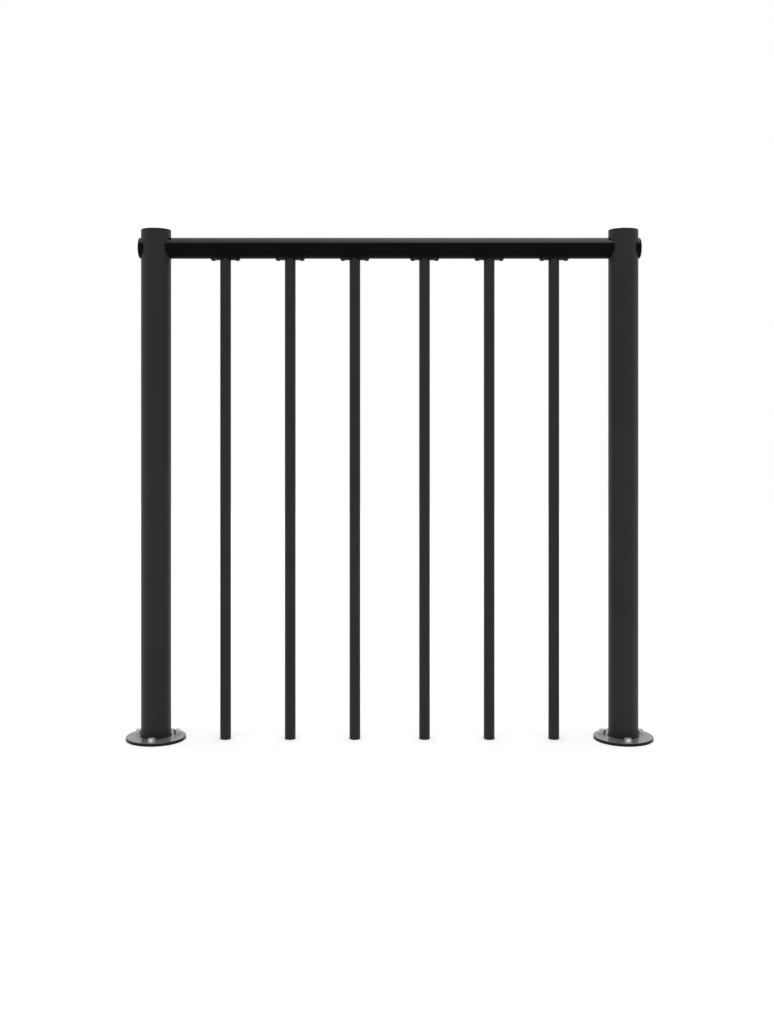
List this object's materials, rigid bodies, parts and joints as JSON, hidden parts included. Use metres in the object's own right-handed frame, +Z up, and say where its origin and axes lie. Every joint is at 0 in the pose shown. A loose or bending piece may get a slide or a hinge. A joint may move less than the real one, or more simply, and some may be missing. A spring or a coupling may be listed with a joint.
{
  "type": "steel balustrade panel",
  "caption": "Steel balustrade panel: flanged round posts, a through handrail and thin round balusters.",
  "frame": {"origin": "centre of the left flange's underside, on the floor", "axes": "+X along the handrail to the right post, +Y away from the viewer of the picture, +Z up"},
  "size_m": [1.07, 0.12, 1.034],
  "materials": {
    "satin_black_steel": "satin black powder coat",
    "flange_coat": "satin black powder coat, pale where light grazes it",
    "gloss_black_steel": "gloss black powder coat",
    "saddle_steel": "black powder coat",
    "cap_plastic": "moulded black plastic",
    "plug_plastic": "moulded black plastic"
  },
  "bodies": {
    "root": {"left_post": "satin_black_steel", "left_base_flange": "flange_coat", "left_base_weld": "satin_black_steel", "left_post_cap": "cap_plastic", "left_handrail_end_cap": "cap_plastic", "right_post": "satin_black_steel", "right_base_flange": "flange_coat", "right_base_weld": "satin_black_steel", "right_post_cap": "cap_plastic", "right_handrail_end_cap": "cap_plastic", "handrail": "gloss_black_steel", "baluster_1": "satin_black_steel", "saddle_1": "saddle_steel", "baluster_foot_plug_1": "plug_plastic", "baluster_2": "satin_black_steel", "saddle_2": "saddle_steel", "baluster_foot_plug_2": "plug_plastic", "baluster_3": "satin_black_steel", "saddle_3": "saddle_steel", "baluster_foot_plug_3": "plug_plastic", "baluster_4": "satin_black_steel", "saddle_4": "saddle_steel", "baluster_foot_plug_4": "plug_plastic", "baluster_5": "satin_black_steel", "saddle_5": "saddle_steel", "baluster_foot_plug_5": "plug_plastic", "baluster_6": "satin_black_steel", "saddle_6": "saddle_steel", "baluster_foot_plug_6": "plug_plastic"}
  },
  "joints": []
}
